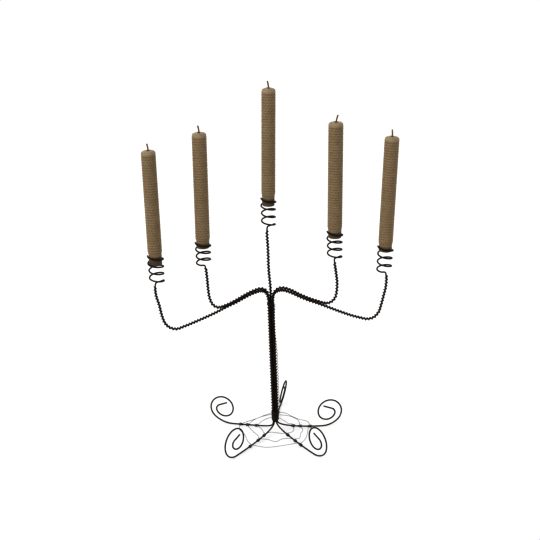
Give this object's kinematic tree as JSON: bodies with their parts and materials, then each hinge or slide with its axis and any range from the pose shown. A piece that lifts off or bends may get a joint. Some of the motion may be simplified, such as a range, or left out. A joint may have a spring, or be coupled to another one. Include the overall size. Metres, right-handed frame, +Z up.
{
  "type": "tabletop candelabra",
  "caption": "Tabletop wire candelabra: bound stem on scroll feet with a silver wire web, branching arms that end in coils holding rolled wax candles.",
  "frame": {"origin": "on the table under the middle of the five feet, which is where the stem stands", "axes": "+Z up along the stem and the candles, +X towards the right-hand arms, +Y away from the front of the row of candles"},
  "size_m": [0.4342, 0.2439, 0.6433],
  "materials": {
    "dark_wire": "dark annealed steel wire, low sheen, faint brown",
    "dark_winding": "thinner dark annealed steel wire, low sheen",
    "silver_wire": "bright drawn wire, slightly dulled",
    "wax": "rolled natural beeswax with a honeycomb pattern, soft waxy sheen",
    "wick": "braided cotton wick dipped in wax"
  },
  "bodies": {
    "frame": {"leg_outer_left": "dark_wire", "leg_inner_left": "dark_wire", "leg_centre": "dark_wire", "leg_inner_right": "dark_wire", "leg_outer_right": "dark_wire", "stem_outer_left": "dark_wire", "stem_inner_left": "dark_wire", "stem_centre": "dark_wire", "stem_inner_right": "dark_wire", "stem_outer_right": "dark_wire", "arm_outer_left": "dark_wire", "arm_inner_left": "dark_wire", "arm_centre": "dark_wire", "arm_inner_right": "dark_wire", "arm_outer_right": "dark_wire", "coil_outer_left": "dark_wire", "coil_inner_left": "dark_wire", "coil_centre": "dark_wire", "coil_inner_right": "dark_wire", "coil_outer_right": "dark_wire", "stem_winding_outer_left": "dark_winding", "stem_winding_inner_left": "dark_winding", "stem_winding_centre": "dark_winding", "stem_winding_inner_right": "dark_winding", "stem_winding_outer_right": "dark_winding", "arm_winding_outer_left": "dark_winding", "arm_winding_inner_left": "dark_winding", "arm_winding_centre": "dark_winding", "arm_winding_inner_right": "dark_winding", "arm_winding_outer_right": "dark_winding", "lower_collar": "dark_winding", "upper_collar": "dark_winding", "silver_curl": "silver_wire", "web_inner": "silver_wire", "web_middle": "silver_wire", "web_outer": "silver_wire"},
    "candle_outer_left": {"candle_outer_left": "wax", "wick_outer_left": "wick"},
    "candle_inner_left": {"candle_inner_left": "wax", "wick_inner_left": "wick"},
    "candle_centre": {"candle_centre": "wax", "wick_centre": "wick"},
    "candle_inner_right": {"candle_inner_right": "wax", "wick_inner_right": "wick"},
    "candle_outer_right": {"candle_outer_right": "wax", "wick_outer_right": "wick"}
  },
  "joints": [
    {"name": "candle_outer_left_lift", "type": "slide", "parent": "frame", "child": "candle_outer_left", "axis": [-0.0175, 0, 0.9998], "range_m": [0, 0.04]},
    {"name": "candle_inner_left_lift", "type": "slide", "parent": "frame", "child": "candle_inner_left", "axis": [0, 0, 1], "range_m": [0, 0.04]},
    {"name": "candle_centre_lift", "type": "slide", "parent": "frame", "child": "candle_centre", "axis": [0.0175, 0, 0.9998], "range_m": [0, 0.04]},
    {"name": "candle_inner_right_lift", "type": "slide", "parent": "frame", "child": "candle_inner_right", "axis": [0.0087, 0, 1], "range_m": [0, 0.04]},
    {"name": "candle_outer_right_lift", "type": "slide", "parent": "frame", "child": "candle_outer_right", "axis": [0.0436, 0, 0.999], "range_m": [0, 0.04]}
  ]
}
